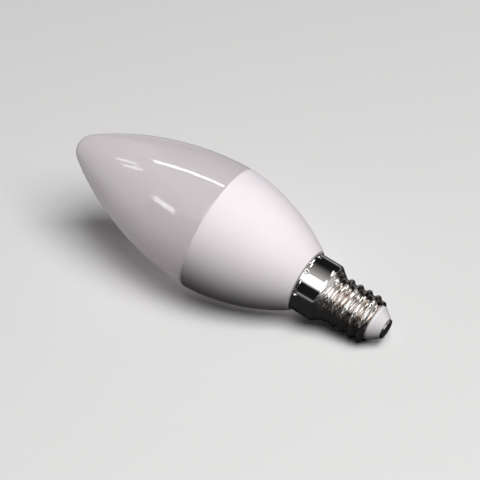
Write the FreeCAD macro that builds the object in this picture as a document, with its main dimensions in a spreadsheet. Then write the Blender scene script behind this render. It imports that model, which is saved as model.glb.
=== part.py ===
import FreeCAD, Part
import math
import os

import Sketcher

# Candle bulb with an opal diffuser on a small Edison screw cap. Lengths are in millimetres.
# The origin is the middle of the centre contact's outer face, and +Z runs up the axis to the diffuser's tip.

# Each size that can be chosen by itself, under its alias in the sheet.
SIZES = {
    "bulb_diameter": 37.0,
    "cap_length": 26.1,
    "housing_length": 28.4,
    "housing_overhang": 0.75,
    "housing_flank_radius": 59.0,
    "housing_rim_wall": 1.2,
    "housing_rim_chamfer": 0.3,
    "housing_end_rounding": 0.5,
    "plug_length": 5.4,
    "diffuser_length": 46.7,
    "diffuser_setback": 0.12,
    "diffuser_flank_radius": 82.0,
    "diffuser_tip_radius": 5.0,
    "diffuser_rim_chamfer": 0.25,
    "spigot_length": 3.0,
    "skirt_diameter": 17.0,
    "skirt_length": 6.7,
    "shoulder_rounding": 0.6,
    "cone_length": 3.0,
    "sheet_thickness": 0.3,
    "bead_length": 0.6,
    "bead_height": 0.15,
    "crimp_count": 8,
    "crimp_drop": 0.9,
    "crimp_ball_radius": 0.7,
    "crimp_depth": 0.35,
    "crimp_angle": 14.3,
    "thread_major_diameter": 13.8,
    "thread_minor_diameter": 12.2,
    "thread_pitch": 2.822,
    "thread_crest_width": 0.5,
    "thread_root_width": 0.9,
    "thread_start_depth": 3.15,
    "end_taper_length": 1.6,
    "lip_opening_diameter": 10.3,
    "insulator_drop": 3.3,
    "insulator_shoulder_length": 0.7,
    "insulator_end_diameter": 6.2,
    "insulator_flange_height": 2.0,
    "insulator_rounding": 0.25,
    "contact_diameter": 5.8,
    "contact_thickness": 0.6,
    "contact_rounding": 0.2,
    "contact_stem_diameter": 1.8,
    "contact_stem_end": 1.0,
    "slip_clearance": 0.05,
}

# Radii and heights that several pieces share, as expressions of the sheet.
RIM_RADIUS = "(Sizes.bulb_diameter / 2)"
SEAM_HEIGHT = "(Sizes.cap_length + Sizes.housing_length)"
REBATE_RADIUS = f"({RIM_RADIUS} - Sizes.housing_rim_wall)"
SKIRT_RADIUS = "(Sizes.skirt_diameter / 2)"
SKIRT_BORE_RADIUS = f"({SKIRT_RADIUS} - Sizes.sheet_thickness)"
SKIRT_FOOT_HEIGHT = "(Sizes.cap_length - Sizes.skirt_length)"
CONE_FOOT_HEIGHT = f"({SKIRT_FOOT_HEIGHT} - Sizes.cone_length)"
THREAD_ROOT_RADIUS = "(Sizes.thread_minor_diameter / 2)"
THREAD_CREST_RADIUS = "(Sizes.thread_major_diameter / 2)"
THREAD_BORE_RADIUS = f"({THREAD_ROOT_RADIUS} - Sizes.sheet_thickness)"
SHELL_END_HEIGHT = "(Sizes.contact_thickness + Sizes.insulator_drop)"
LIP_RADIUS = "(Sizes.lip_opening_diameter / 2)"
LIP_TOP_HEIGHT = f"({SHELL_END_HEIGHT} + Sizes.sheet_thickness)"
FLANGE_TOP_HEIGHT = f"({LIP_TOP_HEIGHT} + Sizes.insulator_flange_height)"
STEM_RADIUS = "(Sizes.contact_stem_diameter / 2)"

# The middle of the thread's ridge where it starts, below the shell's end.
THREAD_START_HEIGHT = f"({SHELL_END_HEIGHT} - Sizes.thread_start_depth)"

# The balls that press the crimps into the skirt: how far out and how high their centres lie.
CRIMP_REACH = f"({SKIRT_RADIUS} + Sizes.crimp_ball_radius - Sizes.crimp_depth)"
CRIMP_HEIGHT = "(Sizes.cap_length - Sizes.crimp_drop)"
CRIMP_DENT_RADIUS = "(Sizes.crimp_ball_radius + Sizes.sheet_thickness)"

FULL_TURN = 360.0
MATCH = 1e-4


def make_sheet(doc):
    """The sheet that holds the driving sizes, a name and a number in each row."""
    sheet = doc.addObject("Spreadsheet::Sheet", "Sizes")
    for row, (alias, value) in enumerate(SIZES.items(), start=1):
        sheet.set(f"A{row}", alias.replace("_", " "))
        sheet.set(f"B{row}", str(value))
        sheet.setAlias(f"B{row}", alias)
    doc.recompute()


def value_of(item, expression):
    """The number that an expression of the sheet stands for."""
    return float(item.evalExpression(expression))


def origin_item(body, role):
    """One of the planes or axes of a body's own origin."""
    return next(item for item in body.Origin.OriginFeatures if item.Role == role)


def make_body(doc, label):
    """An empty body that becomes one piece of the bulb."""
    body = doc.addObject("PartDesign::Body", label)
    body.Label = label
    return body


def section_sketch(body, name):
    """A sketch on the body's XZ plane: across is the radius and up is the height."""
    sketch = body.newObject("Sketcher::SketchObject", name)
    sketch.AttachmentSupport = [(origin_item(body, "XZ_Plane"), "")]
    sketch.MapMode = "FlatFace"
    return sketch


def point_at_reaches(first, first_reach, second, second_reach):
    """The point at a distance from each of two points, on the left of the way from first to second."""
    way = second - first
    along = (first_reach**2 - second_reach**2 + way.Length**2) / (2 * way.Length)
    aside = math.sqrt(first_reach**2 - along**2)
    left = FreeCAD.Vector(-way.y, way.x, 0)
    return first + way * (along / way.Length) + left * (aside / way.Length)


def arc_about(centre, start, end):
    """The arc that runs anticlockwise about a centre from one point to another."""
    first = math.atan2(start.y - centre.y, start.x - centre.x)
    last = math.atan2(end.y - centre.y, end.x - centre.x)
    circle = Part.Circle(centre, FreeCAD.Vector(0, 0, 1), (start - centre).Length)
    return Part.ArcOfCircle(circle, first, last)


def point_of(sketch, corner):
    """The sketch point for a corner given as expressions of its radius and height."""
    return FreeCAD.Vector(value_of(sketch, corner[0]), value_of(sketch, corner[1]), 0)


def bind(sketch, constraint, expression):
    """Adds a constraint and ties its value to the sheet."""
    index = sketch.addConstraint(constraint)
    sketch.setExpression(f"Constraints[{index}]", expression)


def hold_on_axis(sketch, side, point, kind):
    """Puts a point of a side where its distance of that kind is nothing, on the upright or the level axis."""
    axis = -2 if kind == "DistanceX" else -1
    sketch.addConstraint(Sketcher.Constraint("PointOnObject", side, point, axis))


def pin_corner(sketch, side, corner):
    """Holds the start of a side at a corner; an expression of "0" puts it on that axis."""
    for kind, expression in zip(("DistanceX", "DistanceY"), corner):
        if expression == "0":
            hold_on_axis(sketch, side, 1, kind)
        else:
            value = value_of(sketch, expression)
            bind(sketch, Sketcher.Constraint(kind, -1, 1, side, 1, value), expression)


def draw_outline(sketch, corners, arcs=None):
    """Draws a closed outline, anticlockwise, through corners given as expressions.

    arcs gives the radius of each side that bulges, by the number of the corner that it leaves.
    """
    arcs = arcs or {}
    points = [point_of(sketch, corner) for corner in corners]
    following = points[1:] + points[:1]
    for side, (start, end) in enumerate(zip(points, following)):
        if side in arcs:
            reach = value_of(sketch, arcs[side])
            sketch.addGeometry(arc_about(point_at_reaches(start, reach, end, reach), start, end))
        else:
            sketch.addGeometry(Part.LineSegment(start, end))
    for side, corner in enumerate(corners):
        sketch.addConstraint(Sketcher.Constraint("Coincident", side, 2, (side + 1) % len(corners), 1))
        pin_corner(sketch, side, corner)
    for side, expression in arcs.items():
        bind(sketch, Sketcher.Constraint("Radius", side, value_of(sketch, expression)), expression)


def turn(body, kind, name, sketch):
    """Turns a section through a full circle about the axis, as a Revolution or a Groove."""
    before = body.Shape.Volume if body.Tip else 0.0
    feature = body.newObject(f"PartDesign::{kind}", name)
    feature.Profile = sketch
    feature.ReferenceAxis = (sketch, ["V_Axis"])
    feature.Angle = FULL_TURN
    body.Document.recompute()
    grew = feature.Shape.Volume > before
    if grew != (kind == "Revolution"):
        raise ValueError(f"{name} leaves the volume of {body.Label} wrong")


def ring_edge(shape, radius, height):
    """The name of the round edge at a radius and a height."""
    for number, edge in enumerate(shape.Edges, start=1):
        curve = edge.Curve
        if curve.TypeId != "Part::GeomCircle" or abs(curve.Radius - radius) > MATCH:
            continue
        if abs(curve.Center.z - height) < MATCH and abs(curve.Axis.z) > 1 - MATCH:
            return f"Edge{number}"
    raise ValueError(f"no round edge of radius {radius} at height {height}")


def round_rings(body, name, corners, size):
    """Rounds the round edges that lie at the given corners of a turned body."""
    base = body.Tip
    fillet = body.newObject("PartDesign::Fillet", name)
    edges = [ring_edge(base.Shape, value_of(body, r), value_of(body, z)) for r, z in corners]
    fillet.Base = (base, edges)
    fillet.setExpression("Radius", size)
    body.Document.recompute()


def ring_of_balls(body, kind, name, radius):
    """Adds or takes away one ball at each crimp."""
    ball = body.newObject(f"PartDesign::{kind}Sphere", name)
    ball.setExpression("Radius", radius)
    ball.setExpression("Placement.Base.x", f"{CRIMP_REACH} * cos(Sizes.crimp_angle * 1 deg)")
    ball.setExpression("Placement.Base.y", f"{CRIMP_REACH} * sin(Sizes.crimp_angle * 1 deg)")
    ball.setExpression("Placement.Base.z", CRIMP_HEIGHT)
    body.Document.recompute()
    ring = body.newObject("PartDesign::PolarPattern", f"{name}_ring")
    ring.Originals = [ball]
    ring.Axis = (origin_item(body, "Z_Axis"), [""])
    ring.Angle = FULL_TURN
    ring.setExpression("Occurrences", "Sizes.crimp_count")
    body.Tip = ring
    body.Document.recompute()


def make_diffuser(doc):
    """The opal dome: a shallow flank that runs smoothly into a small round tip, and a spigot below."""
    body = make_body(doc, "diffuser")
    sketch = section_sketch(body, "dome_section")
    rim_radius = f"({RIM_RADIUS} - Sizes.diffuser_setback)"
    spigot_radius = f"({REBATE_RADIUS} - Sizes.slip_clearance)"
    spigot_end = f"({SEAM_HEIGHT} - Sizes.spigot_length)"
    top = f"({SEAM_HEIGHT} + Sizes.diffuser_length)"
    corners = [
        ("0", spigot_end),
        (spigot_radius, spigot_end),
        (spigot_radius, SEAM_HEIGHT),
        (f"({rim_radius} - Sizes.diffuser_rim_chamfer)", SEAM_HEIGHT),
        (rim_radius, f"({SEAM_HEIGHT} + Sizes.diffuser_rim_chamfer)"),
    ]
    rim = point_of(sketch, corners[-1])
    tip = point_of(sketch, ("0", top))
    flank_reach = value_of(sketch, "Sizes.diffuser_flank_radius")
    tip_reach = value_of(sketch, "Sizes.diffuser_tip_radius")
    tip_centre = tip - FreeCAD.Vector(0, tip_reach, 0)
    flank_centre = point_at_reaches(rim, flank_reach, tip_centre, flank_reach - tip_reach)
    outward = (tip_centre - flank_centre).normalize()
    meeting = tip_centre + outward * tip_reach

    points = [point_of(sketch, corner) for corner in corners]
    for start, end in zip(points, points[1:]):
        sketch.addGeometry(Part.LineSegment(start, end))
    flank = sketch.addGeometry(arc_about(flank_centre, rim, meeting))
    nose = sketch.addGeometry(arc_about(tip_centre, meeting, tip))
    axis = sketch.addGeometry(Part.LineSegment(tip, points[0]))
    for side, corner in enumerate(corners):
        pin_corner(sketch, side, corner)
    for side in range(flank):
        sketch.addConstraint(Sketcher.Constraint("Coincident", side, 2, side + 1, 1))
    sketch.addConstraint(Sketcher.Constraint("Tangent", flank, 2, nose, 1))
    sketch.addConstraint(Sketcher.Constraint("Coincident", nose, 2, axis, 1))
    sketch.addConstraint(Sketcher.Constraint("Coincident", axis, 2, 0, 1))
    hold_on_axis(sketch, nose, 3, "DistanceX")
    pin_corner(sketch, axis, ("0", top))
    bind(sketch, Sketcher.Constraint("Radius", flank, flank_reach), "Sizes.diffuser_flank_radius")
    bind(sketch, Sketcher.Constraint("Radius", nose, tip_reach), "Sizes.diffuser_tip_radius")

    turn(body, "Revolution", "dome", sketch)
    return body


def make_housing(doc):
    """The bowl between diffuser and cap, with a rebate for the spigot above and a plug for the skirt below."""
    body = make_body(doc, "housing")
    sketch = section_sketch(body, "bowl_section")
    plug_radius = f"({SKIRT_BORE_RADIUS} - Sizes.slip_clearance)"
    plug_end = "(Sizes.cap_length - Sizes.plug_length)"
    end_radius = f"({SKIRT_RADIUS} + Sizes.housing_overhang)"
    rebate_floor = f"({SEAM_HEIGHT} - Sizes.spigot_length - Sizes.slip_clearance)"
    corners = [
        ("0", plug_end),
        (plug_radius, plug_end),
        (plug_radius, "Sizes.cap_length"),
        (end_radius, "Sizes.cap_length"),
        (RIM_RADIUS, f"({SEAM_HEIGHT} - Sizes.housing_rim_chamfer)"),
        (f"({RIM_RADIUS} - Sizes.housing_rim_chamfer)", SEAM_HEIGHT),
        (REBATE_RADIUS, SEAM_HEIGHT),
        (REBATE_RADIUS, rebate_floor),
        ("0", rebate_floor),
    ]
    flank = corners.index((end_radius, "Sizes.cap_length"))
    draw_outline(sketch, corners, {flank: "Sizes.housing_flank_radius"})
    turn(body, "Revolution", "bowl", sketch)
    round_rings(body, "bowl_end", [(end_radius, "Sizes.cap_length")], "Sizes.housing_end_rounding")
    ring_of_balls(body, "Subtractive", "plug_pit", f"{CRIMP_DENT_RADIUS} + Sizes.slip_clearance")
    return body


def wind_thread(body):
    """Winds the thread's ridge round the blank, from below its end up into the cone, which swallows it."""
    sketch = section_sketch(body, "ridge_section")
    embedded = f"({THREAD_ROOT_RADIUS} - Sizes.sheet_thickness / 2)"
    middle = f"(({THREAD_ROOT_RADIUS} + {THREAD_CREST_RADIUS}) / 2)"
    foot = "(Sizes.thread_pitch - Sizes.thread_root_width) / 2"
    waist = "Sizes.thread_pitch / 4"
    crest = "Sizes.thread_crest_width / 2"
    steps = [(embedded, foot), (THREAD_ROOT_RADIUS, foot), (middle, waist), (THREAD_CREST_RADIUS, crest)]
    rising = [(radius, f"({THREAD_START_HEIGHT} - {half})") for radius, half in steps]
    falling = [(radius, f"({THREAD_START_HEIGHT} + {half})") for radius, half in reversed(steps)]
    draw_outline(sketch, rising + falling)
    helix = body.newObject("PartDesign::AdditiveHelix", "thread_ridge")
    helix.Profile = sketch
    helix.ReferenceAxis = (sketch, ["V_Axis"])
    helix.Mode = "pitch-height-angle"
    helix.setExpression("Pitch", "Sizes.thread_pitch")
    helix.setExpression("Height", f"{SKIRT_FOOT_HEIGHT} - {THREAD_START_HEIGHT}")
    helix.Angle = 0
    helix.LeftHanded = False
    helix.Reversed = False
    body.Document.recompute()


def make_cavity(doc):
    """What the cap shell's sheet closes in: the wall's inner side, with a hollow at each crimp."""
    body = make_body(doc, "cap_cavity")
    sketch = section_sketch(body, "cavity_section")
    past_end = f"({SHELL_END_HEIGHT} - Sizes.sheet_thickness)"
    past_rim = "(Sizes.cap_length + Sizes.sheet_thickness)"
    corners = [
        ("0", past_end),
        (LIP_RADIUS, past_end),
        (LIP_RADIUS, LIP_TOP_HEIGHT),
        (THREAD_BORE_RADIUS, LIP_TOP_HEIGHT),
        (THREAD_BORE_RADIUS, CONE_FOOT_HEIGHT),
        (SKIRT_BORE_RADIUS, SKIRT_FOOT_HEIGHT),
        (SKIRT_BORE_RADIUS, past_rim),
        ("0", past_rim),
    ]
    draw_outline(sketch, corners)
    turn(body, "Revolution", "cavity", sketch)
    ring_of_balls(body, "Subtractive", "crimp_dent", CRIMP_DENT_RADIUS)
    return body


def make_cap_shell(doc):
    """The sheet-metal cap: beaded skirt, crimps, cone, rolled thread and a lip turned in at the end."""
    cavity = make_cavity(doc)
    body = make_body(doc, "cap_shell")
    blank = section_sketch(body, "blank_section")
    bead_foot = "(Sizes.cap_length - Sizes.bead_length)"
    bead_radius = f"({SKIRT_RADIUS} + Sizes.bead_height)"
    corners = [
        ("0", SHELL_END_HEIGHT),
        (THREAD_ROOT_RADIUS, SHELL_END_HEIGHT),
        (THREAD_ROOT_RADIUS, CONE_FOOT_HEIGHT),
        (SKIRT_RADIUS, SKIRT_FOOT_HEIGHT),
        (SKIRT_RADIUS, bead_foot),
        (bead_radius, f"({bead_foot} + Sizes.bead_height)"),
        (bead_radius, "(Sizes.cap_length - Sizes.bead_height)"),
        (SKIRT_RADIUS, "Sizes.cap_length"),
        ("0", "Sizes.cap_length"),
    ]
    draw_outline(blank, corners)
    turn(body, "Revolution", "blank", blank)
    round_rings(body, "shoulder", [(SKIRT_RADIUS, SKIRT_FOOT_HEIGHT)], "Sizes.shoulder_rounding")
    wind_thread(body)

    taper = section_sketch(body, "taper_section")
    taper_width = f"({THREAD_CREST_RADIUS} - {THREAD_BORE_RADIUS})"
    clear_radius = f"({THREAD_BORE_RADIUS} + 2 * {taper_width})"
    clear_height = f"({THREAD_START_HEIGHT} - Sizes.thread_pitch)"
    taper_corners = [
        ("0", clear_height),
        (clear_radius, clear_height),
        (clear_radius, f"({SHELL_END_HEIGHT} + 2 * Sizes.end_taper_length)"),
        (THREAD_BORE_RADIUS, SHELL_END_HEIGHT),
        ("0", SHELL_END_HEIGHT),
    ]
    draw_outline(taper, taper_corners)
    turn(body, "Groove", "end_taper", taper)
    ring_of_balls(body, "Subtractive", "crimp_pit", "Sizes.crimp_ball_radius")

    hollow = body.newObject("PartDesign::Boolean", "hollow")
    hollow.setObjects([cavity])
    hollow.Type = "Cut"
    doc.recompute()
    return body


def make_cap_insulator(doc):
    """The insulating nose: a cone and shoulder outside the lip, a neck through it and a flange behind it."""
    body = make_body(doc, "cap_insulator")
    sketch = section_sketch(body, "nose_section")
    bore_radius = f"({STEM_RADIUS} + Sizes.slip_clearance)"
    end_radius = "(Sizes.insulator_end_diameter / 2)"
    neck_radius = f"({LIP_RADIUS} - Sizes.slip_clearance)"
    flange_radius = f"({THREAD_BORE_RADIUS} - Sizes.slip_clearance)"
    shoulder_height = f"({SHELL_END_HEIGHT} - Sizes.insulator_shoulder_length)"
    corners = [
        (bore_radius, "Sizes.contact_thickness"),
        (end_radius, "Sizes.contact_thickness"),
        (neck_radius, shoulder_height),
        (neck_radius, LIP_TOP_HEIGHT),
        (flange_radius, LIP_TOP_HEIGHT),
        (flange_radius, FLANGE_TOP_HEIGHT),
        (bore_radius, FLANGE_TOP_HEIGHT),
    ]
    draw_outline(sketch, corners)
    turn(body, "Revolution", "nose", sketch)
    round_rings(body, "nose_edges", corners[1:3], "Sizes.insulator_rounding")
    return body


def make_centre_contact(doc):
    """The contact: a round plate under the nose, on a stem that passes up through it."""
    body = make_body(doc, "centre_contact")
    sketch = section_sketch(body, "contact_section")
    plate_radius = "(Sizes.contact_diameter / 2)"
    stem_top = f"({FLANGE_TOP_HEIGHT} + Sizes.contact_stem_end)"
    corners = [
        ("0", "0"),
        (plate_radius, "0"),
        (plate_radius, "Sizes.contact_thickness"),
        (STEM_RADIUS, "Sizes.contact_thickness"),
        (STEM_RADIUS, stem_top),
        ("0", stem_top),
    ]
    draw_outline(sketch, corners)
    turn(body, "Revolution", "plate_and_stem", sketch)
    round_rings(body, "plate_edge", [(plate_radius, "0")], "Sizes.contact_rounding")
    return body


def check_document(doc, pieces):
    """Stops if anything failed, or if a piece isn't one sound solid."""
    for item in doc.Objects:
        if "Invalid" in item.State or "Error" in item.State:
            raise ValueError(f"{item.Label} failed: {item.State}")
    for piece in pieces:
        shape = piece.Shape
        if shape.isNull() or not shape.isValid() or len(shape.Solids) != 1:
            raise ValueError(f"{piece.Label} is not one sound solid")


def main():
    doc = FreeCAD.newDocument("CandleBulb")
    make_sheet(doc)
    makers = (make_diffuser, make_housing, make_cap_shell, make_cap_insulator, make_centre_contact)
    pieces = [make(doc) for make in makers]
    doc.recompute()
    check_document(doc, pieces)
    os.makedirs("parts", exist_ok=True)
    for piece in pieces:
        piece.Shape.exportStep(f"parts/{piece.Label}.step")
        print(f"{piece.Label}: {piece.Shape.Volume:.1f} cubic mm")


main()
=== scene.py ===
import math

import bpy
import numpy as np
from mathutils import Matrix, Vector


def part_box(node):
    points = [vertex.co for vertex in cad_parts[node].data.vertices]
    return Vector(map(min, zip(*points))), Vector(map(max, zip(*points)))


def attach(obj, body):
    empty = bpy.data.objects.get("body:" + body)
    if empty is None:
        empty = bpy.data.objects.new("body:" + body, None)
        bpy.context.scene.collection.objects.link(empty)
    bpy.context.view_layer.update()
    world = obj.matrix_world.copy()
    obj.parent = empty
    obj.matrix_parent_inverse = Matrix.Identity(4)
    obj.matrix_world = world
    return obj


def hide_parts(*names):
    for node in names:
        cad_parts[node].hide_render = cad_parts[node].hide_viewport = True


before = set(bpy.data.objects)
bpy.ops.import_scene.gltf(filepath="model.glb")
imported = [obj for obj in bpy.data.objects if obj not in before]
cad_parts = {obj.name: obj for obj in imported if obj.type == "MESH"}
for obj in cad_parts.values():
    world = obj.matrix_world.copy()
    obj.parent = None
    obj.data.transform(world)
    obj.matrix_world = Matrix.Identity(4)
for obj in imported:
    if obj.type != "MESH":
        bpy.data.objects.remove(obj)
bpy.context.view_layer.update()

# Candle bulb: its five pieces finely turned, their finishes, a small studio and the photograph's camera.
# Lengths are in metres. The bulb's axis is Z, from the centre contact at 0 up to the diffuser's tip.
MM = 0.001
FULL_TURN = 2 * math.pi
TINY = 1e-9

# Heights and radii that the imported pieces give.
SEAM_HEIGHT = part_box("housing")[1].z
RIM_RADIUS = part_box("housing")[1].x
DOME_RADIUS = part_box("diffuser")[1].x
TIP_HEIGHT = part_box("diffuser")[1].z
CAP_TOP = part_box("cap_shell")[1].z
BEAD_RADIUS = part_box("cap_shell")[1].x
SHELL_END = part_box("cap_shell")[0].z
NOSE_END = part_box("cap_insulator")[0].z
FLANGE_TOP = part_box("cap_insulator")[1].z
FLANGE_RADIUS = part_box("cap_insulator")[1].x
STEM_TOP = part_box("centre_contact")[1].z
PLATE_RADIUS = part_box("centre_contact")[1].x
SPIGOT_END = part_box("diffuser")[0].z
PLUG_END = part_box("housing")[0].z

# Sizes of the cap.
SKIRT_RADIUS = 8.5 * MM
SKIRT_LENGTH = 6.7 * MM
CONE_LENGTH = 3.0 * MM
SHOULDER_ROUNDING = 0.6 * MM
SHEET = 0.3 * MM
BEAD_LENGTH = 0.6 * MM
GROOVE_DROP = 0.8 * MM
GROOVE_REACH = 0.25 * MM
GROOVE_DEPTH = 0.05 * MM
CRIMP_COUNT = 8
CRIMP_DROP = 0.9 * MM
CRIMP_DEPTH = 0.35 * MM
CRIMP_SPREAD = 0.75 * MM
CRIMP_SOFTNESS = 1.5
CRIMP_ANGLE = math.radians(14.3)
THREAD_CREST = 6.9 * MM
THREAD_ROOT = 6.1 * MM
THREAD_PITCH = 2.822 * MM
THREAD_START = SHELL_END - 3.15 * MM
THREAD_FADE = 1.6 * MM
THREAD_JOIN = 0.35 * MM
END_ROUNDING = 0.7 * MM
LIP_RADIUS = 5.15 * MM
NOSE_RADIUS = 3.1 * MM
NOSE_SHOULDER = 0.7 * MM
NOSE_ROUNDING = 0.3 * MM
PLATE_ROUNDING = 0.25 * MM
STEM_RADIUS = 0.9 * MM

SKIRT_FOOT = CAP_TOP - SKIRT_LENGTH
CONE_FOOT = SKIRT_FOOT - CONE_LENGTH

# Sizes of the diffuser and the housing.
DOME_FLANK = 82.0 * MM
DOME_TIP = 5.0 * MM
RIM_WALL = 1.2 * MM
RIM_ROUNDING = 0.1 * MM
HOUSING_FLANK = 59.0 * MM
HOUSING_END_RADIUS = SKIRT_RADIUS + 0.75 * MM
HOUSING_END_ROUNDING = 0.5 * MM
SLIP = 0.05 * MM

# How finely the pieces are turned: facets round the axis, then steps along the outlines.
BODY_FACETS = 192
SHELL_FACETS = 320
SMALL_FACETS = 128
FLANK_STEPS = 64
TIP_STEPS = 24
SPIGOT_STEPS = 2
THREAD_STEPS = 118
CONE_STEPS = 18
SKIRT_STEPS = 8
CRIMP_STEPS = 20
BEAD_STEPS = 16
TURN_IN_STEPS = 12
SHOULDER_STEPS = 8
FOOT_STEPS = 5
CORNER_STEPS = 6
CARD_STEPS = 24
SHARP_ANGLE = math.radians(35)

# The two tints that each finish drifts between, and the brown that dulls the thread.
OPAL_TINTS = ((0.73, 0.68, 0.71, 1), (0.75, 0.70, 0.73, 1))
SATIN_TINTS = ((0.85, 0.795, 0.825, 1), (0.875, 0.82, 0.85, 1))
NICKEL_TINTS = ((0.70, 0.68, 0.66, 1), (0.80, 0.78, 0.765, 1))
NOSE_TINTS = ((0.75, 0.725, 0.735, 1), (0.81, 0.785, 0.795, 1))
CONTACT_TINTS = ((0.36, 0.34, 0.32, 1), (0.54, 0.52, 0.5, 1))
STAIN_TINT = (0.26, 0.17, 0.11, 1)

# How much of the opal's light comes through it, and the tint of that light.
THROUGH_SHARE = 0.45
THROUGH_TINT = (1.0, 0.98, 0.98, 1)

# Marks on the finishes. A scale is how often a mark repeats in a metre along each axis; a tilt is in radians.
NOISE_MIDDLE = (0.3, 0.7)
RING_SCALE = (60, 60, 5000)
RING_SHARE = 0.05
STREAK_SCALE = (110, 110, 2800)
STREAK_TILT = 0.32
ROOT_STAIN = 0.35
CONTACT_RINGS = 30000.0

# How the photograph was taken: where the middle of the seam lies in it and how the axis leans.
PHOTO_SIDE = 480
FOCAL_PIXELS = 3000
SENSOR_WIDTH = 36.0
SEAM_PIXEL = (218.85, 228.04)
SEAM_DEPTH = 817.24 * MM
AXIS_ROLL = math.radians(31.21)
AXIS_TILT = math.radians(14.704)

# The studio and its brightness, where 1 looks white.
BULB_MIDDLE = Vector((0, 0, TIP_HEIGHT / 2))
FLOOR_CLEAR = 0.16
FLOOR_REACH = 0.28
FLOOR_TINT = (0.76, 0.755, 0.75, 1)
# A black sheet on the floor under the cap, hidden from the camera, paints shade into the cap's reflections.
SHADE_SHEET_CLEAR = 0.06
SHADE_SHEET_REACH = 0.26
SHADE_SHEET_LIFT = 0.0002
CARD_REACH = 0.9
CARD_RISE = 0.8
BLACK = (0.02, 0.02, 0.02, 1)
SURROUND_TINT = (1.0, 0.995, 0.99, 1)
FILL_BRIGHTNESS = 0.04
SEEN_BRIGHTNESS = 0.7

# Each lamp has its place from the bulb's middle and the way of its first side, both as right, up and near in
# the photograph, then the lengths of its sides and its brightness. The first two light the bulb and aren't
# mirrored, and the others are only mirrored.
LIGHTING_LAMPS = {
    "key": ((0.28, 0.59, 1.04), (1, 0, 0), (0.85, 0.85), 7.9),
    "behind": ((0.2, 0.1, -1.2), (1, 0, 0), (0.4, 0.4), 27.0),
}
MIRRORED_LAMPS = {
    "strip": ((-0.06, 0.6, 0.137), (0.4, 0, 0.08), (0.355, 0.042), 16.0),
    "skirt_box": ((-0.175, 0.255, 0.537), (0.19, 0.28, -0.07), (0.345, 0.13), 2.0),
    "thread_box": ((0.227, 0.08, 0.568), (0.5, 0.86, 0), (0.45, 0.25), 2.6),
    "thread_strip": ((0.435, 0.404, 0.147), (0.5, 0.86, 0), (0.3, 0.12), 5.0),
    "left_upper_0": ((-0.43, 0.465, 0.119), (0.136, 0.086, 0.109), (0.13, 0.035), 6.5),
    "left_upper_1": ((-0.43, 0.41, 0.174), (0.136, 0.086, 0.109), (0.13, 0.035), 6.5),
    "left_lower": ((-0.476, 0.127, 0.382), (0.069, -0.064, 0.1), (0.12, 0.085), 8.0),
}

# Each black card has its two ends round the axis and how far it thins out at each of them, in degrees.
CARDS = {
    "upper_card": (-85, 65, 85, 30),
    "lower_card": (-165, -97, 30, 5),
}


def line_points(start, end, count):
    """Evenly spaced points from start towards end, without the end."""
    return [tuple(a + (b - a) * i / count for a, b in zip(start, end)) for i in range(count)]


def arc_points(centre, radius, first, last, count):
    """Points along an arc in the section, both ends included; angles in radians from the radius axis."""
    angles = np.linspace(first, last, count + 1)
    return [(centre[0] + radius * math.cos(a), centre[1] + radius * math.sin(a)) for a in angles]


def angle_of(centre, point):
    """The angle at which a point lies about a centre."""
    return math.atan2(point[1] - centre[1], point[0] - centre[0])


def point_at_reaches(first, first_reach, second, second_reach):
    """The point at a distance from each of two points, on the left of the way from first to second."""
    way = np.subtract(second, first)
    length = np.hypot(*way)
    along = (first_reach**2 - second_reach**2 + length**2) / (2 * length)
    aside = math.sqrt(first_reach**2 - along**2)
    left = np.array((-way[1], way[0]))
    return tuple(np.array(first) + way * along / length + left * aside / length)


def bulge(start, end, radius, count):
    """Points along the arc that swells outwards between two points of the section."""
    centre = point_at_reaches(start, radius, end, radius)
    return arc_points(centre, radius, angle_of(centre, start), angle_of(centre, end), count)


def round_corner(before, corner, after, radius, count=CORNER_STEPS):
    """The points that round a corner of the section off with an arc."""
    before, corner, after = (np.array(p, float) for p in (before, corner, after))
    back = (before - corner) / np.linalg.norm(before - corner)
    on = (after - corner) / np.linalg.norm(after - corner)
    half = math.acos(float(np.clip(back @ on, -1, 1))) / 2
    middle = (back + on) / np.linalg.norm(back + on)
    centre = corner + middle * radius / math.sin(half)
    start = corner + back * radius / math.tan(half)
    end = corner + on * radius / math.tan(half)
    first, last = angle_of(centre, start), angle_of(centre, end)
    turn = (last - first + math.pi) % FULL_TURN - math.pi
    return arc_points(centre, radius, first, first + turn, count)


def rounded(corners):
    """A closed outline from (radius, height, rounding) corners; a rounding of 0 leaves the corner sharp."""
    outline = []
    for i, (r, z, rounding) in enumerate(corners):
        if rounding:
            before, after = corners[i - 1], corners[(i + 1) % len(corners)]
            outline += round_corner(before[:2], (r, z), after[:2], rounding)
        else:
            outline.append((r, z))
    return outline


def lathe(name, outline, facets, press=None):
    """Turns an outline into a closed mesh. press moves a point's radius by its height and angle."""
    angles = np.arange(facets) * FULL_TURN / facets
    vertices, rows = [], []
    for r, z in outline:
        first = len(vertices)
        if r <= 0:
            vertices.append((0, 0, z))
            rows.append([first] * facets)
            continue
        radii = press(r, z, angles) if press else np.full(facets, r)
        vertices += list(zip(radii * np.cos(angles), radii * np.sin(angles), np.full(facets, z)))
        rows.append(list(range(first, first + facets)))
    faces = []
    closed = outline[0][0] > 0 or outline[-1][0] > 0
    pairs = list(zip(rows, rows[1:])) + ([(rows[-1], rows[0])] if closed else [])
    for lower, upper in pairs:
        for i in range(facets):
            j = (i + 1) % facets
            corners = [lower[i], lower[j], upper[j], upper[i]]
            face = list(dict.fromkeys(corners))
            if len(face) > 2:
                faces.append(face)
    mesh = bpy.data.meshes.new(name)
    mesh.from_pydata([tuple(map(float, v)) for v in vertices], [], faces)
    mesh.validate()
    mesh.shade_smooth()
    mesh.set_sharp_from_angle(angle=SHARP_ANGLE)
    piece = bpy.data.objects.new(name, mesh)
    bpy.context.scene.collection.objects.link(piece)
    return piece


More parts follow.
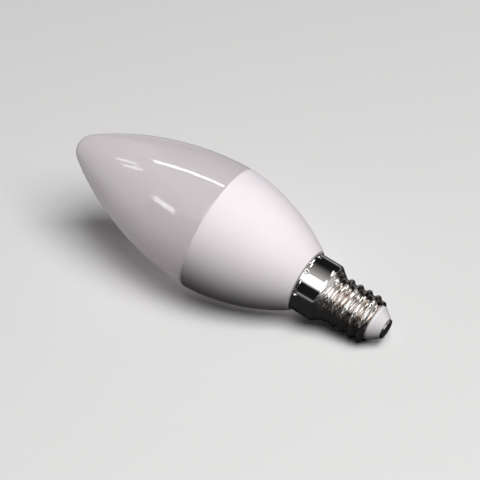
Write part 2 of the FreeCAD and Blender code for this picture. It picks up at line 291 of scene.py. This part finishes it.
def make_dome():
    """The opal diffuser: a shallow flank that runs into a small round tip, a soft rim and a spigot."""
    rim = (DOME_RADIUS, SEAM_HEIGHT + RIM_ROUNDING)
    tip_centre = (0.0, TIP_HEIGHT - DOME_TIP)
    flank_centre = point_at_reaches(rim, DOME_FLANK, tip_centre, DOME_FLANK - DOME_TIP)
    rim_angle = angle_of(flank_centre, rim)
    meeting = angle_of(flank_centre, tip_centre)
    spigot = RIM_RADIUS - RIM_WALL - SLIP
    rim_centre = (DOME_RADIUS - RIM_ROUNDING, SEAM_HEIGHT + RIM_ROUNDING)
    outline = [(0, SPIGOT_END)]
    outline += line_points((spigot, SPIGOT_END), (spigot, SEAM_HEIGHT), SPIGOT_STEPS)
    outline.append((spigot, SEAM_HEIGHT))
    outline += arc_points(rim_centre, RIM_ROUNDING, -math.pi / 2, 0, CORNER_STEPS)[:-1]
    outline += arc_points(flank_centre, DOME_FLANK, rim_angle, meeting, FLANK_STEPS)[:-1]
    outline += arc_points(tip_centre, DOME_TIP, meeting, math.pi / 2, TIP_STEPS)[:-1]
    outline.append((0, TIP_HEIGHT))
    return lathe("opal_dome", outline, BODY_FACETS)


def housing_flank():
    """The housing's outer line from its end at the cap to just under the seam."""
    start = (HOUSING_END_RADIUS, CAP_TOP)
    end = (RIM_RADIUS, SEAM_HEIGHT - RIM_ROUNDING)
    return bulge(start, end, HOUSING_FLANK, FLANK_STEPS)


def make_bowl():
    """The white housing: plug, rounded end, bulging flank, soft rim and the rebate for the spigot."""
    plug = SKIRT_RADIUS - SHEET - SLIP
    rebate = RIM_RADIUS - RIM_WALL
    floor = SPIGOT_END - SLIP
    rim_centre = (RIM_RADIUS - RIM_ROUNDING, SEAM_HEIGHT - RIM_ROUNDING)
    flank = housing_flank()
    outline = [(0, PLUG_END), (plug, PLUG_END), (plug, CAP_TOP)]
    outline += round_corner((plug, CAP_TOP), flank[0], flank[1], HOUSING_END_ROUNDING, SHOULDER_STEPS)
    outline += [point for point in flank if point[1] > outline[-1][1]][:-1]
    outline += arc_points(rim_centre, RIM_ROUNDING, 0, math.pi / 2, CORNER_STEPS)
    outline += [(rebate, SEAM_HEIGHT), (rebate, floor), (0, floor)]
    return lathe("white_bowl", outline, BODY_FACETS)


def knuckle(height, angles):
    """How far the thread stands above its root: equal arcs, hollow and crest, that meet on the flanks."""
    depth = THREAD_CREST - THREAD_ROOT
    knuckle_radius = (depth**2 + THREAD_PITCH**2 / 4) / (4 * depth)
    turns = (height - THREAD_START) / THREAD_PITCH - angles / FULL_TURN
    from_crest = np.abs(turns - np.round(turns)) * THREAD_PITCH
    from_root = THREAD_PITCH / 2 - from_crest
    crest = depth - knuckle_radius + np.sqrt(np.maximum(knuckle_radius**2 - from_crest**2, 0))
    root = knuckle_radius - np.sqrt(np.maximum(knuckle_radius**2 - from_root**2, 0))
    return np.where(from_crest < from_root, crest, root)


def smooth_step(low, high, value):
    """0 below low, 1 above high, and a smooth rise between them."""
    share = np.clip((value - low) / (high - low), 0, 1)
    return share * share * (3 - 2 * share)


def smooth_larger(first, second, blend):
    """The larger of two values, with the corner where they cross rounded over a blend."""
    share = np.clip(0.5 + (second - first) / (2 * blend), 0, 1)
    return first + (second - first) * share + blend * share * (1 - share)


def press_shell(radius, height, angles):
    """Rolls the thread into the shell and presses the crimps into its skirt."""
    radii = np.full(len(angles), radius)
    if radius > LIP_RADIUS and height < SKIRT_FOOT:
        fade = smooth_step(SHELL_END, SHELL_END + THREAD_FADE, height)
        ridge = THREAD_ROOT + fade * knuckle(height, angles)
        blend = THREAD_JOIN * smooth_step(CONE_FOOT - THREAD_PITCH / 2, CONE_FOOT, height) + TINY
        shown = smooth_step(LIP_RADIUS, THREAD_ROOT, radius)
        radii = radii + (smooth_larger(radii, ridge, blend) - radii) * shown
    above_crimps = height - (CAP_TOP - CRIMP_DROP)
    if abs(above_crimps) < CRIMP_SPREAD:
        step = FULL_TURN / CRIMP_COUNT
        aside = ((angles - CRIMP_ANGLE + step / 2) % step - step / 2) * radius
        reach = np.hypot(aside, above_crimps) / CRIMP_SPREAD
        radii = radii - CRIMP_DEPTH * np.clip(1 - reach**2, 0, 1) ** CRIMP_SOFTNESS
    return radii


def groove_depth(height):
    """How deep the shallow groove under the bead is at a height."""
    off = abs(height - (CAP_TOP - GROOVE_DROP)) / GROOVE_REACH
    return GROOVE_DEPTH * max(0, 1 - off**2) ** 2


def make_shell():
    """The sheet-metal cap: lip, rolled thread, cone, crimped skirt, groove and bead, all one sheet."""
    skirt_bore = SKIRT_RADIUS - SHEET
    thread_bore = THREAD_ROOT - SHEET
    lip_top = SHELL_END + SHEET
    bead_depth = BEAD_RADIUS - SKIRT_RADIUS
    turn_in_centre = (THREAD_ROOT - END_ROUNDING, SHELL_END + END_ROUNDING)
    root_start = (THREAD_ROOT, SHELL_END + END_ROUNDING)
    root_end = (THREAD_ROOT, CONE_FOOT - SHOULDER_ROUNDING)
    cone_start = (THREAD_ROOT, CONE_FOOT)
    cone_end = (SKIRT_RADIUS, SKIRT_FOOT)
    crimps_start = (SKIRT_RADIUS, CAP_TOP - CRIMP_DROP - CRIMP_SPREAD)
    skirt_end = (SKIRT_RADIUS, CAP_TOP - BEAD_LENGTH)

    turn_in = arc_points(turn_in_centre, END_ROUNDING, -math.pi / 2, 0, TURN_IN_STEPS)[:-1]
    thread_rows = line_points(root_start, root_end, THREAD_STEPS)
    foot = round_corner(root_end, cone_start, cone_end, SHOULDER_ROUNDING, FOOT_STEPS)
    shoulder = round_corner(cone_start, cone_end, skirt_end, SHOULDER_ROUNDING, SHOULDER_STEPS)
    cone = line_points(foot[-1], shoulder[0], CONE_STEPS)[1:]
    skirt = line_points(shoulder[-1], crimps_start, SKIRT_STEPS)[1:]
    crimped = [(r - groove_depth(z), z) for r, z in line_points(crimps_start, skirt_end, CRIMP_STEPS)]
    bead = [
        (SKIRT_RADIUS + bead_depth * math.sqrt(1 - s**2), CAP_TOP - BEAD_LENGTH * (1 - s) / 2)
        for s in np.linspace(-1, 1, BEAD_STEPS + 1)
    ]
    inside = [
        (skirt_bore, CAP_TOP),
        (skirt_bore, SKIRT_FOOT),
        (thread_bore, CONE_FOOT),
        (thread_bore, lip_top),
        (LIP_RADIUS, lip_top),
        (LIP_RADIUS, SHELL_END),
    ]
    outline = turn_in + thread_rows + foot + cone + shoulder + skirt + crimped + bead + inside
    return lathe("nickel_shell", outline, SHELL_FACETS, press_shell)


def make_nose():
    """The insulating nose of the cap, its neck through the lip and its flange behind it."""
    bore = STEM_RADIUS + SLIP
    neck = LIP_RADIUS - SLIP
    lip_top = SHELL_END + SHEET
    corners = [
        (bore, NOSE_END, 0),
        (NOSE_RADIUS, NOSE_END, NOSE_ROUNDING),
        (neck, SHELL_END - NOSE_SHOULDER, NOSE_ROUNDING),
        (neck, lip_top, 0),
        (FLANGE_RADIUS, lip_top, 0),
        (FLANGE_RADIUS, FLANGE_TOP, 0),
        (bore, FLANGE_TOP, 0),
    ]
    return lathe("white_nose", rounded(corners), SMALL_FACETS)


def make_contact():
    """The centre contact: a rolled-edge plate on its stem."""
    corners = [
        (0, 0, 0),
        (PLATE_RADIUS, 0, PLATE_ROUNDING),
        (PLATE_RADIUS, NOSE_END, 0),
        (STEM_RADIUS, NOSE_END, 0),
        (STEM_RADIUS, STEM_TOP, 0),
        (0, STEM_TOP, 0),
    ]
    return lathe("contact_plate", rounded(corners), SMALL_FACETS)


def start_material(name):
    """A new node material, its tree and its main shader."""
    material = bpy.data.materials.new(name)
    material.use_nodes = True
    tree = material.node_tree
    return material, tree, tree.nodes["Principled BSDF"]


def set_values(shader, values):
    """Sets a shader's own sockets to constant values."""
    for socket, value in values.items():
        shader.inputs[socket].default_value = value


def add_node(tree, kind, settings=None, **inputs):
    """Adds a node with its options and its inputs: sockets by name or number, given a value or an output."""
    node = tree.nodes.new(kind)
    for key, value in (settings or {}).items():
        setattr(node, key, value)
    for key, value in inputs.items():
        socket = node.inputs[int(key[1:])] if key[0] == "_" else node.inputs[key]
        if isinstance(value, bpy.types.NodeSocket):
            tree.links.new(value, socket)
        else:
            socket.default_value = value
    return node


def math_node(tree, operation, first, second=0.0):
    """The result of one step of arithmetic."""
    return add_node(tree, "ShaderNodeMath", {"operation": operation}, _0=first, _1=second).outputs[0]


def remap(tree, value, start, end, low, high, kind="LINEAR"):
    """Maps a value from the range start to end to the range low to high, and holds it there."""
    settings = {"interpolation_type": kind}
    node = add_node(tree, "ShaderNodeMapRange", settings, _0=value, _1=start, _2=end, _3=low, _4=high)
    return node.outputs[0]


def object_place(tree):
    """Where on the piece a point lies, in metres."""
    return add_node(tree, "ShaderNodeTexCoord").outputs["Object"]


def stretched_place(tree, scale, tilt=(0, 0, 0)):
    """Object coordinates turned by a tilt, then multiplied by a scale for each axis."""
    turned = add_node(tree, "ShaderNodeMapping", Rotation=tilt, Vector=object_place(tree)).outputs["Vector"]
    return add_node(tree, "ShaderNodeMapping", Scale=scale, Vector=turned).outputs["Vector"]


def axis_distance(tree):
    """How far a point lies from the piece's own Z axis, in metres."""
    flat = stretched_place(tree, (1, 1, 0))
    return add_node(tree, "ShaderNodeVectorMath", {"operation": "LENGTH"}, Vector=flat).outputs["Value"]


def noise(tree, place, scale=1.0, detail=2.0):
    """A noise value from 0 to 1 over a place."""
    return add_node(tree, "ShaderNodeTexNoise", Vector=place, Scale=scale, Detail=detail).outputs["Fac"]


def grain(tree, scale, detail=2.0):
    """A noise value from 0 to 1 over the piece, whose scale is how often it repeats in a metre."""
    return noise(tree, object_place(tree), scale, detail)


def spread(tree, value, low, high):
    """Maps the middle of a noise value to the range from low to high."""
    return remap(tree, value, *NOISE_MIDDLE, low, high)


def blend_colours(tree, share, first, second):
    """Mixes two colours, each a value or an output, by a share."""
    return add_node(tree, "ShaderNodeMix", {"data_type": "RGBA"}, _0=share, _6=first, _7=second).outputs[2]


def drift(tree, cloud, tints):
    """A colour that drifts between two tints with a cloud of noise."""
    return blend_colours(tree, spread(tree, cloud, 0, 1), *tints)


def bump(tree, shader, height, depth):
    """Gives a shader a bump of a real depth."""
    node = add_node(tree, "ShaderNodeBump", Height=height, Distance=depth, Strength=1.0)
    tree.links.new(node.outputs["Normal"], shader.inputs["Normal"])


def make_opal():
    """Opal plastic: grey-white and glossy, and it lets light into the dome and out again."""
    material, tree, shader = start_material("opal_plastic")
    roughness = spread(tree, grain(tree, scale=240.0), low=0.07, high=0.085)
    tree.links.new(drift(tree, grain(tree, scale=70.0), OPAL_TINTS), shader.inputs["Base Color"])
    tree.links.new(roughness, shader.inputs["Roughness"])
    set_values(shader, {"IOR": 1.5, "Specular IOR Level": 0.85})
    bump(tree, shader, grain(tree, scale=900.0), depth=0.0005 * MM)
    through = add_node(tree, "ShaderNodeBsdfTranslucent", Color=THROUGH_TINT).outputs[0]
    mix = add_node(tree, "ShaderNodeMixShader", _0=THROUGH_SHARE, _1=shader.outputs[0], _2=through)
    tree.links.new(mix.outputs[0], tree.nodes["Material Output"].inputs["Surface"])
    return material


def make_satin():
    """Satin white moulding with a fine grain."""
    material, tree, shader = start_material("satin_plastic")
    roughness = spread(tree, grain(tree, scale=500.0), low=0.5, high=0.6)
    tree.links.new(drift(tree, grain(tree, scale=90.0), SATIN_TINTS), shader.inputs["Base Color"])
    tree.links.new(roughness, shader.inputs["Roughness"])
    set_values(shader, {
        "Specular IOR Level": 0.35,
        "Subsurface Weight": 0.15,
        "Subsurface Radius": (1.0, 0.8, 0.75),
        "Subsurface Scale": MM,
    })
    bump(tree, shader, grain(tree, scale=5000.0), depth=0.004 * MM)
    return material


def make_nickel():
    """Bright nickel plate: fine rings all over, and on the thread crossing streaks and a brown dullness."""
    material, tree, shader = start_material("nickel_plate")
    cloud = grain(tree, scale=160.0, detail=4.0)
    height = add_node(tree, "ShaderNodeSeparateXYZ", Vector=object_place(tree)).outputs["Z"]
    in_thread = remap(tree, height, SKIRT_FOOT - SHOULDER_ROUNDING, SKIRT_FOOT, 1.0, 0.0)
    middle_radius = (THREAD_ROOT + THREAD_CREST) / 2
    in_root = remap(tree, axis_distance(tree), THREAD_ROOT, middle_radius, ROOT_STAIN, 0.0)

    rings = noise(tree, stretched_place(tree, RING_SCALE), detail=3.0)
    relief = math_node(tree, "MULTIPLY", rings, RING_SHARE)
    for tilt in (STREAK_TILT, -STREAK_TILT):
        streaks = noise(tree, stretched_place(tree, STREAK_SCALE, (tilt, tilt, 0)))
        relief = math_node(tree, "ADD", relief, math_node(tree, "MULTIPLY", in_thread, streaks))

    patches = math_node(tree, "MULTIPLY", in_thread, spread(tree, streaks, low=-0.6, high=0.8))
    stain = remap(tree, math_node(tree, "ADD", in_root, patches), 0.0, 1.0, 0.0, 1.0)
    colour = blend_colours(tree, stain, drift(tree, cloud, NICKEL_TINTS), STAIN_TINT)
    tree.links.new(colour, shader.inputs["Base Color"])
    tree.links.new(spread(tree, cloud, low=0.04, high=0.1), shader.inputs["Roughness"])
    set_values(shader, {"Metallic": 1.0})
    bump(tree, shader, relief, depth=0.17 * MM)
    return material


def make_nose_plastic():
    """The white insulating plastic of the cap's nose."""
    material, tree, shader = start_material("nose_plastic")
    cloud = grain(tree, scale=300.0)
    tree.links.new(drift(tree, cloud, NOSE_TINTS), shader.inputs["Base Color"])
    tree.links.new(spread(tree, cloud, low=0.3, high=0.42), shader.inputs["Roughness"])
    set_values(shader, {
        "Subsurface Weight": 0.3,
        "Subsurface Radius": (1.0, 0.95, 0.95),
        "Subsurface Scale": MM,
    })
    bump(tree, shader, grain(tree, scale=4000.0), depth=0.004 * MM)
    return material


def make_contact_metal():
    """Plated contact, dulled, with rings left by its turning."""
    material, tree, shader = start_material("contact_metal")
    cloud = grain(tree, scale=600.0, detail=4.0)
    tree.links.new(drift(tree, cloud, CONTACT_TINTS), shader.inputs["Base Color"])
    tree.links.new(spread(tree, cloud, low=0.2, high=0.38), shader.inputs["Roughness"])
    set_values(shader, {"Metallic": 1.0})
    rings = math_node(tree, "SINE", math_node(tree, "MULTIPLY", axis_distance(tree), CONTACT_RINGS))
    bump(tree, shader, rings, depth=0.002 * MM)
    return material


def seat(piece, material, node):
    """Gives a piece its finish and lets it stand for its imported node."""
    piece.data.materials.append(material)
    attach(piece, "root")
    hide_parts(node)


def camera_axes():
    """The photograph's directions in the bulb's own frame: to the right, up and into the picture."""
    forward = Vector((0, math.cos(AXIS_TILT), math.sin(AXIS_TILT)))
    across = Vector((1, 0, 0))
    along = forward.cross(across)
    right = across * math.sin(AXIS_ROLL) + along * math.cos(AXIS_ROLL)
    return right, right.cross(forward), forward


def make_camera():
    """Stands the camera where the photograph was taken from."""
    right, up, forward = camera_axes()
    aside = (SEAM_PIXEL[0] - PHOTO_SIDE / 2) / FOCAL_PIXELS * SEAM_DEPTH
    below = (SEAM_PIXEL[1] - PHOTO_SIDE / 2) / FOCAL_PIXELS * SEAM_DEPTH
    place = Vector((0, 0, SEAM_HEIGHT)) - right * aside + up * below - forward * SEAM_DEPTH
    data = bpy.data.cameras.new("photo_camera")
    data.sensor_width = SENSOR_WIDTH
    data.lens = FOCAL_PIXELS / PHOTO_SIDE * SENSOR_WIDTH
    data.clip_start = SEAM_DEPTH / 100
    camera = bpy.data.objects.new("photo_camera", data)
    camera.matrix_world = Matrix.Translation(place) @ Matrix((right, up, -forward)).transposed().to_4x4()
    bpy.context.scene.collection.objects.link(camera)
    bpy.context.scene.camera = camera


def studio_way(right, up, near):
    """A way given in the photograph's directions: to the right, up and towards the camera."""
    across, above, into = camera_axes()
    return across * right + above * up - into * near


def make_lamp(name, place, along, size, brightness, mirrored):
    """A soft lamp that faces the bulb, for its mirror image or else for its light."""
    data = bpy.data.lights.new(name, "AREA")
    data.shape = "RECTANGLE"
    data.size, data.size_y = size
    data.energy = brightness * math.pi * size[0] * size[1]
    lamp = bpy.data.objects.new(name, data)
    stand = studio_way(*place)
    back = stand.normalized()
    first_side = studio_way(*along)
    side = (first_side - back * first_side.dot(back)).normalized()
    turned = Matrix((side, back.cross(side), back)).transposed().to_4x4()
    lamp.matrix_world = Matrix.Translation(BULB_MIDDLE + stand) @ turned
    lamp.visible_camera = False
    lamp.visible_glossy = mirrored
    lamp.visible_diffuse = not mirrored
    bpy.context.scene.collection.objects.link(lamp)


def make_stage_piece(name, vertices, faces, colour):
    """A sheet of the studio, with a matt finish that can thin out; gives it, its tree and the mix."""
    mesh = bpy.data.meshes.new(name)
    mesh.from_pydata(vertices, [], faces)
    piece = bpy.data.objects.new(name, mesh)
    bpy.context.scene.collection.objects.link(piece)
    material, tree, shader = start_material(name)
    tree.nodes.remove(shader)
    matt = add_node(tree, "ShaderNodeBsdfDiffuse", Color=colour)
    clear = add_node(tree, "ShaderNodeBsdfTransparent")
    mix = add_node(tree, "ShaderNodeMixShader", _1=clear.outputs[0], _2=matt.outputs[0])
    tree.links.new(mix.outputs[0], tree.nodes["Material Output"].inputs["Surface"])
    mesh.materials.append(material)
    piece.visible_diffuse = False
    piece.visible_shadow = False
    return piece, tree, mix


def floor_frame():
    """Where the bulb lies, on its thread and its housing's flank, with the camera level over the floor."""
    right = camera_axes()[0]
    foot = (THREAD_CREST, SHELL_END + THREAD_FADE)
    lean = max(math.atan2(r - foot[0], z - foot[1]) for r, z in housing_flank())
    across = math.hypot(right.x, right.y)
    under = math.atan2(right.y, right.x) + math.asin(-right.z * math.tan(lean) / across)
    outward = Vector((math.sin(under), -math.cos(under), 0))
    normal = outward * math.cos(lean) + Vector((0, 0, math.sin(lean)))
    contact = -outward * foot[0] + Vector((0, 0, foot[1]))
    return contact, Matrix((right, normal.cross(right), normal)).transposed().to_4x4()


def make_flat(name, middle, clear, reach, colour):
    """A sheet on the floor that thins out from clear to reach and can't be seen from behind."""
    corners = [(x * reach, y * reach, 0) for x, y in ((-1, -1), (1, -1), (1, 1), (-1, 1))]
    sheet, tree, mix = make_stage_piece(name, corners, [(0, 1, 2, 3)], colour)
    contact, turned = floor_frame()
    normal = turned.col[2].to_3d()
    sheet.matrix_world = Matrix.Translation(middle - normal * (middle - contact).dot(normal)) @ turned
    there = remap(tree, axis_distance(tree), clear, reach, 1.0, 0.0)
    front = math_node(tree, "SUBTRACT", 1.0, add_node(tree, "ShaderNodeNewGeometry").outputs["Backfacing"])
    tree.links.new(math_node(tree, "MULTIPLY", there, front), mix.inputs[0])
    return sheet, normal


def make_floor():
    """The pale floor, and a black sheet under the cap that only reflections show: painted shade, which the
    cap mirrors in place of the pale floor.
    """
    make_flat("pale_floor", BULB_MIDDLE, FLOOR_CLEAR, FLOOR_REACH, FLOOR_TINT)
    under_cap = Vector((0, 0, CONE_FOOT / 2))
    # Hidden from the camera, this black sheet gives the cap a painted shade in its mirror image of the floor.
    mirrored_shade_sheet, normal = make_flat("mirrored_shade_sheet", under_cap, SHADE_SHEET_CLEAR, SHADE_SHEET_REACH, BLACK)
    mirrored_shade_sheet.location += normal * SHADE_SHEET_LIFT
    mirrored_shade_sheet.visible_camera = False


def make_card(name, first, last, first_fade, last_fade):
    """A black card bent round the bulb's axis that only reflections show; it thins out towards its ends."""
    half = (last - first) / 2
    turns = np.linspace(-half, half, CARD_STEPS + 1)
    bend = [(CARD_REACH * math.cos(a), CARD_REACH * math.sin(a)) for a in turns]
    vertices = [(x, y, z) for x, y in bend for z in (-CARD_RISE, CARD_RISE)]
    faces = [(2 * i, 2 * i + 2, 2 * i + 3, 2 * i + 1) for i in range(CARD_STEPS)]
    card, tree, mix = make_stage_piece(name, vertices, faces, BLACK)
    card.matrix_world = Matrix.Translation(BULB_MIDDLE) @ Matrix.Rotation((first + last) / 2, 4, "Z")
    card.visible_camera = False
    place = add_node(tree, "ShaderNodeSeparateXYZ", Vector=object_place(tree))
    angle = math_node(tree, "ARCTAN2", place.outputs["Y"], place.outputs["X"])
    rise = remap(tree, angle, -half, first_fade - half, 0.0, 1.0, "SMOOTHSTEP")
    fall = remap(tree, angle, half - last_fade, half, 1.0, 0.0, "SMOOTHSTEP")
    tree.links.new(math_node(tree, "MULTIPLY", rise, fall), mix.inputs[0])


def make_world():
    """A pale surround: bright where it is seen or mirrored, softer where it lights the bulb."""
    world = bpy.data.worlds.new("studio")
    world.use_nodes = True
    tree = world.node_tree
    background = tree.nodes["Background"]
    path = add_node(tree, "ShaderNodeLightPath").outputs
    seen = math_node(tree, "MAXIMUM", path["Is Camera Ray"], path["Is Glossy Ray"])
    seen = math_node(tree, "MAXIMUM", seen, path["Is Transmission Ray"])
    brightness = remap(tree, seen, 0.0, 1.0, FILL_BRIGHTNESS, SEEN_BRIGHTNESS)
    background.inputs["Color"].default_value = SURROUND_TINT
    tree.links.new(brightness, background.inputs["Strength"])
    bpy.context.scene.world = world


def light_studio():
    """A key lamp and one behind, small ones that draw the highlights on dome and cap, and the black cards."""
    for name, lamp in LIGHTING_LAMPS.items():
        make_lamp(name, *lamp, mirrored=False)
    for name, lamp in MIRRORED_LAMPS.items():
        make_lamp(name, *lamp, mirrored=True)
    for name, degrees in CARDS.items():
        make_card(name, *(math.radians(value) for value in degrees))


seat(make_dome(), make_opal(), "diffuser")
seat(make_bowl(), make_satin(), "housing")
seat(make_shell(), make_nickel(), "cap_shell")
seat(make_nose(), make_nose_plastic(), "cap_insulator")
seat(make_contact(), make_contact_metal(), "centre_contact")

make_camera()
make_floor()
make_world()
light_studio()

bpy.context.scene.view_settings.view_transform = "Standard"
